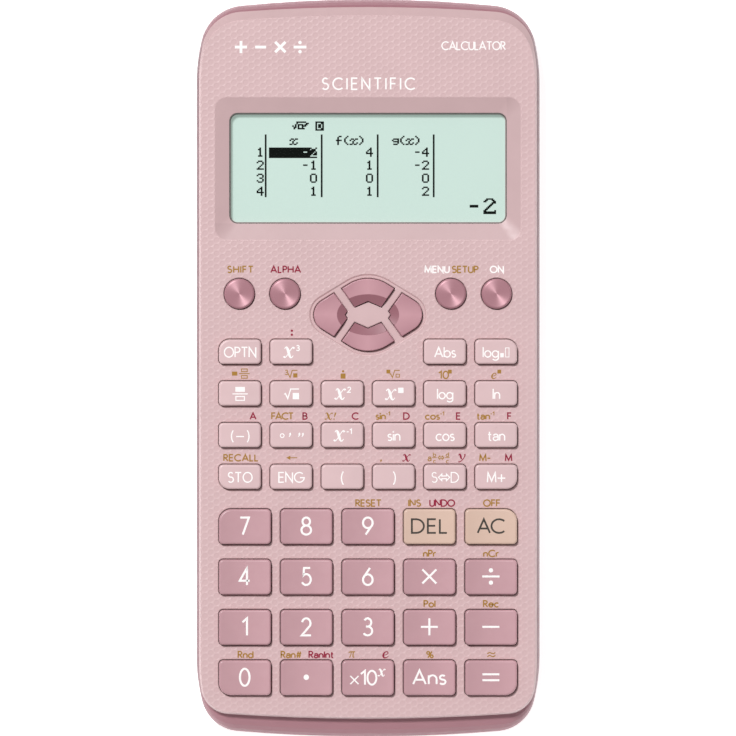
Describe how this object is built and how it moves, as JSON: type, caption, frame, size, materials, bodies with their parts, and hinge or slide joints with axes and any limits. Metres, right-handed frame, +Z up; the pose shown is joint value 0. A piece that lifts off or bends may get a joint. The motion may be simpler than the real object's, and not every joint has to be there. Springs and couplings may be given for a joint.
{
  "type": "scientific calculator",
  "caption": "Slim pocket scientific calculator with a framed display, a four-way cursor pad, round, small and large push keys, and a battery cover in its back.",
  "frame": {"origin": "middle of the flat back face that it lies on", "axes": "+X to the right across the keys, +Y along the body towards the display end, +Z up out of the panel"},
  "size_m": [0.077, 0.1654, 0.0138],
  "materials": {
    "panel": "fine embossed texture, satin",
    "shell": "satin moulded plastic",
    "window": "clear gloss pane",
    "display": "pale green liquid crystal display",
    "board": "green laminate with solder mask",
    "mat": "grey silicone rubber",
    "cell": "wrapped steel can",
    "screw": "zinc plated steel",
    "key_light": "satin moulded plastic",
    "key_dark": "satin moulded plastic",
    "key_cream": "satin moulded plastic",
    "key_round": "metallic with a spun top",
    "key_cursor": "smooth satin plastic"
  },
  "bodies": {
    "case": {"front_case": "panel", "rear_case": "shell", "display_window": "window", "display_module": "display", "circuit_board": "board", "key_mat": "mat", "battery_cell": "cell", "case_screws": "screw"},
    "cover": {"battery_cover": "shell", "battery_cover_screw": "screw"},
    "key_options_button": {"key_options": "key_light"},
    "key_cube_button": {"key_cube": "key_light"},
    "key_absolute_button": {"key_absolute": "key_light"},
    "key_log_base_button": {"key_log_base": "key_light"},
    "key_fraction_button": {"key_fraction": "key_light"},
    "key_square_root_button": {"key_square_root": "key_light"},
    "key_square_button": {"key_square": "key_light"},
    "key_power_button": {"key_power": "key_light"},
    "key_log_button": {"key_log": "key_light"},
    "key_ln_button": {"key_ln": "key_light"},
    "key_negative_button": {"key_negative": "key_light"},
    "key_degrees_button": {"key_degrees": "key_light"},
    "key_reciprocal_button": {"key_reciprocal": "key_light"},
    "key_sin_button": {"key_sin": "key_light"},
    "key_cos_button": {"key_cos": "key_light"},
    "key_tan_button": {"key_tan": "key_light"},
    "key_store_button": {"key_store": "key_light"},
    "key_engineering_button": {"key_engineering": "key_light"},
    "key_open_bracket_button": {"key_open_bracket": "key_light"},
    "key_close_bracket_button": {"key_close_bracket": "key_light"},
    "key_convert_button": {"key_convert": "key_light"},
    "key_memory_plus_button": {"key_memory_plus": "key_light"},
    "key_7_button": {"key_7": "key_dark"},
    "key_8_button": {"key_8": "key_dark"},
    "key_9_button": {"key_9": "key_dark"},
    "key_delete_button": {"key_delete": "key_cream"},
    "key_all_clear_button": {"key_all_clear": "key_cream"},
    "key_4_button": {"key_4": "key_dark"},
    "key_5_button": {"key_5": "key_dark"},
    "key_6_button": {"key_6": "key_dark"},
    "key_multiply_button": {"key_multiply": "key_dark"},
    "key_divide_button": {"key_divide": "key_dark"},
    "key_1_button": {"key_1": "key_dark"},
    "key_2_button": {"key_2": "key_dark"},
    "key_3_button": {"key_3": "key_dark"},
    "key_plus_button": {"key_plus": "key_dark"},
    "key_minus_button": {"key_minus": "key_dark"},
    "key_0_button": {"key_0": "key_dark"},
    "key_point_button": {"key_point": "key_dark"},
    "key_exponent_button": {"key_exponent": "key_dark"},
    "key_answer_button": {"key_answer": "key_dark"},
    "key_equals_button": {"key_equals": "key_dark"},
    "key_shift_button": {"key_shift": "key_round"},
    "key_alpha_button": {"key_alpha": "key_round"},
    "key_menu_button": {"key_menu": "key_round"},
    "key_on_button": {"key_on": "key_round"},
    "cursor_up_button": {"cursor_up": "key_cursor"},
    "cursor_down_button": {"cursor_down": "key_cursor"},
    "cursor_left_button": {"cursor_left": "key_cursor"},
    "cursor_right_button": {"cursor_right": "key_cursor"}
  },
  "joints": [
    {"name": "battery_cover_lift", "type": "slide", "parent": "case", "child": "cover", "axis": [0, 0, -1], "range_m": [0, 0.015]},
    {"name": "key_options_press", "type": "slide", "parent": "case", "child": "key_options_button", "axis": [0, 0, -1], "range_m": [0, 0.001], "stiffness_N_per_m": 300, "springref_m": -0.0005, "deforming": ["key_mat"]},
    {"name": "key_cube_press", "type": "slide", "parent": "case", "child": "key_cube_button", "axis": [0, 0, -1], "range_m": [0, 0.001], "stiffness_N_per_m": 300, "springref_m": -0.0005, "deforming": ["key_mat"]},
    {"name": "key_absolute_press", "type": "slide", "parent": "case", "child": "key_absolute_button", "axis": [0, 0, -1], "range_m": [0, 0.001], "stiffness_N_per_m": 300, "springref_m": -0.0005, "deforming": ["key_mat"]},
    {"name": "key_log_base_press", "type": "slide", "parent": "case", "child": "key_log_base_button", "axis": [0, 0, -1], "range_m": [0, 0.001], "stiffness_N_per_m": 300, "springref_m": -0.0005, "deforming": ["key_mat"]},
    {"name": "key_fraction_press", "type": "slide", "parent": "case", "child": "key_fraction_button", "axis": [0, 0, -1], "range_m": [0, 0.001], "stiffness_N_per_m": 300, "springref_m": -0.0005, "deforming": ["key_mat"]},
    {"name": "key_square_root_press", "type": "slide", "parent": "case", "child": "key_square_root_button", "axis": [0, 0, -1], "range_m": [0, 0.001], "stiffness_N_per_m": 300, "springref_m": -0.0005, "deforming": ["key_mat"]},
    {"name": "key_square_press", "type": "slide", "parent": "case", "child": "key_square_button", "axis": [0, 0, -1], "range_m": [0, 0.001], "stiffness_N_per_m": 300, "springref_m": -0.0005, "deforming": ["key_mat"]},
    {"name": "key_power_press", "type": "slide", "parent": "case", "child": "key_power_button", "axis": [0, 0, -1], "range_m": [0, 0.001], "stiffness_N_per_m": 300, "springref_m": -0.0005, "deforming": ["key_mat"]},
    {"name": "key_log_press", "type": "slide", "parent": "case", "child": "key_log_button", "axis": [0, 0, -1], "range_m": [0, 0.001], "stiffness_N_per_m": 300, "springref_m": -0.0005, "deforming": ["key_mat"]},
    {"name": "key_ln_press", "type": "slide", "parent": "case", "child": "key_ln_button", "axis": [0, 0, -1], "range_m": [0, 0.001], "stiffness_N_per_m": 300, "springref_m": -0.0005, "deforming": ["key_mat"]},
    {"name": "key_negative_press", "type": "slide", "parent": "case", "child": "key_negative_button", "axis": [0, 0, -1], "range_m": [0, 0.001], "stiffness_N_per_m": 300, "springref_m": -0.0005, "deforming": ["key_mat"]},
    {"name": "key_degrees_press", "type": "slide", "parent": "case", "child": "key_degrees_button", "axis": [0, 0, -1], "range_m": [0, 0.001], "stiffness_N_per_m": 300, "springref_m": -0.0005, "deforming": ["key_mat"]},
    {"name": "key_reciprocal_press", "type": "slide", "parent": "case", "child": "key_reciprocal_button", "axis": [0, 0, -1], "range_m": [0, 0.001], "stiffness_N_per_m": 300, "springref_m": -0.0005, "deforming": ["key_mat"]},
    {"name": "key_sin_press", "type": "slide", "parent": "case", "child": "key_sin_button", "axis": [0, 0, -1], "range_m": [0, 0.001], "stiffness_N_per_m": 300, "springref_m": -0.0005, "deforming": ["key_mat"]},
    {"name": "key_cos_press", "type": "slide", "parent": "case", "child": "key_cos_button", "axis": [0, 0, -1], "range_m": [0, 0.001], "stiffness_N_per_m": 300, "springref_m": -0.0005, "deforming": ["key_mat"]},
    {"name": "key_tan_press", "type": "slide", "parent": "case", "child": "key_tan_button", "axis": [0, 0, -1], "range_m": [0, 0.001], "stiffness_N_per_m": 300, "springref_m": -0.0005, "deforming": ["key_mat"]},
    {"name": "key_store_press", "type": "slide", "parent": "case", "child": "key_store_button", "axis": [0, 0, -1], "range_m": [0, 0.001], "stiffness_N_per_m": 300, "springref_m": -0.0005, "deforming": ["key_mat"]},
    {"name": "key_engineering_press", "type": "slide", "parent": "case", "child": "key_engineering_button", "axis": [0, 0, -1], "range_m": [0, 0.001], "stiffness_N_per_m": 300, "springref_m": -0.0005, "deforming": ["key_mat"]},
    {"name": "key_open_bracket_press", "type": "slide", "parent": "case", "child": "key_open_bracket_button", "axis": [0, 0, -1], "range_m": [0, 0.001], "stiffness_N_per_m": 300, "springref_m": -0.0005, "deforming": ["key_mat"]},
    {"name": "key_close_bracket_press", "type": "slide", "parent": "case", "child": "key_close_bracket_button", "axis": [0, 0, -1], "range_m": [0, 0.001], "stiffness_N_per_m": 300, "springref_m": -0.0005, "deforming": ["key_mat"]},
    {"name": "key_convert_press", "type": "slide", "parent": "case", "child": "key_convert_button", "axis": [0, 0, -1], "range_m": [0, 0.001], "stiffness_N_per_m": 300, "springref_m": -0.0005, "deforming": ["key_mat"]},
    {"name": "key_memory_plus_press", "type": "slide", "parent": "case", "child": "key_memory_plus_button", "axis": [0, 0, -1], "range_m": [0, 0.001], "stiffness_N_per_m": 300, "springref_m": -0.0005, "deforming": ["key_mat"]},
    {"name": "key_7_press", "type": "slide", "parent": "case", "child": "key_7_button", "axis": [0, 0, -1], "range_m": [0, 0.001], "stiffness_N_per_m": 300, "springref_m": -0.0005, "deforming": ["key_mat"]},
    {"name": "key_8_press", "type": "slide", "parent": "case", "child": "key_8_button", "axis": [0, 0, -1], "range_m": [0, 0.001], "stiffness_N_per_m": 300, "springref_m": -0.0005, "deforming": ["key_mat"]},
    {"name": "key_9_press", "type": "slide", "parent": "case", "child": "key_9_button", "axis": [0, 0, -1], "range_m": [0, 0.001], "stiffness_N_per_m": 300, "springref_m": -0.0005, "deforming": ["key_mat"]},
    {"name": "key_delete_press", "type": "slide", "parent": "case", "child": "key_delete_button", "axis": [0, 0, -1], "range_m": [0, 0.001], "stiffness_N_per_m": 300, "springref_m": -0.0005, "deforming": ["key_mat"]},
    {"name": "key_all_clear_press", "type": "slide", "parent": "case", "child": "key_all_clear_button", "axis": [0, 0, -1], "range_m": [0, 0.001], "stiffness_N_per_m": 300, "springref_m": -0.0005, "deforming": ["key_mat"]},
    {"name": "key_4_press", "type": "slide", "parent": "case", "child": "key_4_button", "axis": [0, 0, -1], "range_m": [0, 0.001], "stiffness_N_per_m": 300, "springref_m": -0.0005, "deforming": ["key_mat"]},
    {"name": "key_5_press", "type": "slide", "parent": "case", "child": "key_5_button", "axis": [0, 0, -1], "range_m": [0, 0.001], "stiffness_N_per_m": 300, "springref_m": -0.0005, "deforming": ["key_mat"]},
    {"name": "key_6_press", "type": "slide", "parent": "case", "child": "key_6_button", "axis": [0, 0, -1], "range_m": [0, 0.001], "stiffness_N_per_m": 300, "springref_m": -0.0005, "deforming": ["key_mat"]},
    {"name": "key_multiply_press", "type": "slide", "parent": "case", "child": "key_multiply_button", "axis": [0, 0, -1], "range_m": [0, 0.001], "stiffness_N_per_m": 300, "springref_m": -0.0005, "deforming": ["key_mat"]},
    {"name": "key_divide_press", "type": "slide", "parent": "case", "child": "key_divide_button", "axis": [0, 0, -1], "range_m": [0, 0.001], "stiffness_N_per_m": 300, "springref_m": -0.0005, "deforming": ["key_mat"]},
    {"name": "key_1_press", "type": "slide", "parent": "case", "child": "key_1_button", "axis": [0, 0, -1], "range_m": [0, 0.001], "stiffness_N_per_m": 300, "springref_m": -0.0005, "deforming": ["key_mat"]},
    {"name": "key_2_press", "type": "slide", "parent": "case", "child": "key_2_button", "axis": [0, 0, -1], "range_m": [0, 0.001], "stiffness_N_per_m": 300, "springref_m": -0.0005, "deforming": ["key_mat"]},
    {"name": "key_3_press", "type": "slide", "parent": "case", "child": "key_3_button", "axis": [0, 0, -1], "range_m": [0, 0.001], "stiffness_N_per_m": 300, "springref_m": -0.0005, "deforming": ["key_mat"]},
    {"name": "key_plus_press", "type": "slide", "parent": "case", "child": "key_plus_button", "axis": [0, 0, -1], "range_m": [0, 0.001], "stiffness_N_per_m": 300, "springref_m": -0.0005, "deforming": ["key_mat"]},
    {"name": "key_minus_press", "type": "slide", "parent": "case", "child": "key_minus_button", "axis": [0, 0, -1], "range_m": [0, 0.001], "stiffness_N_per_m": 300, "springref_m": -0.0005, "deforming": ["key_mat"]},
    {"name": "key_0_press", "type": "slide", "parent": "case", "child": "key_0_button", "axis": [0, 0, -1], "range_m": [0, 0.001], "stiffness_N_per_m": 300, "springref_m": -0.0005, "deforming": ["key_mat"]},
    {"name": "key_point_press", "type": "slide", "parent": "case", "child": "key_point_button", "axis": [0, 0, -1], "range_m": [0, 0.001], "stiffness_N_per_m": 300, "springref_m": -0.0005, "deforming": ["key_mat"]},
    {"name": "key_exponent_press", "type": "slide", "parent": "case", "child": "key_exponent_button", "axis": [0, 0, -1], "range_m": [0, 0.001], "stiffness_N_per_m": 300, "springref_m": -0.0005, "deforming": ["key_mat"]},
    {"name": "key_answer_press", "type": "slide", "parent": "case", "child": "key_answer_button", "axis": [0, 0, -1], "range_m": [0, 0.001], "stiffness_N_per_m": 300, "springref_m": -0.0005, "deforming": ["key_mat"]},
    {"name": "key_equals_press", "type": "slide", "parent": "case", "child": "key_equals_button", "axis": [0, 0, -1], "range_m": [0, 0.001], "stiffness_N_per_m": 300, "springref_m": -0.0005, "deforming": ["key_mat"]},
    {"name": "key_shift_press", "type": "slide", "parent": "case", "child": "key_shift_button", "axis": [0, 0, -1], "range_m": [0, 0.001], "stiffness_N_per_m": 300, "springref_m": -0.0005, "deforming": ["key_mat"]},
    {"name": "key_alpha_press", "type": "slide", "parent": "case", "child": "key_alpha_button", "axis": [0, 0, -1], "range_m": [0, 0.001], "stiffness_N_per_m": 300, "springref_m": -0.0005, "deforming": ["key_mat"]},
    {"name": "key_menu_press", "type": "slide", "parent": "case", "child": "key_menu_button", "axis": [0, 0, -1], "range_m": [0, 0.001], "stiffness_N_per_m": 300, "springref_m": -0.0005, "deforming": ["key_mat"]},
    {"name": "key_on_press", "type": "slide", "parent": "case", "child": "key_on_button", "axis": [0, 0, -1], "range_m": [0, 0.001], "stiffness_N_per_m": 300, "springref_m": -0.0005, "deforming": ["key_mat"]},
    {"name": "cursor_up_press", "type": "slide", "parent": "case", "child": "cursor_up_button", "axis": [0, 0, -1], "range_m": [0, 0.001], "stiffness_N_per_m": 300, "springref_m": -0.0005, "deforming": ["key_mat"]},
    {"name": "cursor_down_press", "type": "slide", "parent": "case", "child": "cursor_down_button", "axis": [0, 0, -1], "range_m": [0, 0.001], "stiffness_N_per_m": 300, "springref_m": -0.0005, "deforming": ["key_mat"]},
    {"name": "cursor_left_press", "type": "slide", "parent": "case", "child": "cursor_left_button", "axis": [0, 0, -1], "range_m": [0, 0.001], "stiffness_N_per_m": 300, "springref_m": -0.0005, "deforming": ["key_mat"]},
    {"name": "cursor_right_press", "type": "slide", "parent": "case", "child": "cursor_right_button", "axis": [0, 0, -1], "range_m": [0, 0.001], "stiffness_N_per_m": 300, "springref_m": -0.0005, "deforming": ["key_mat"]}
  ]
}
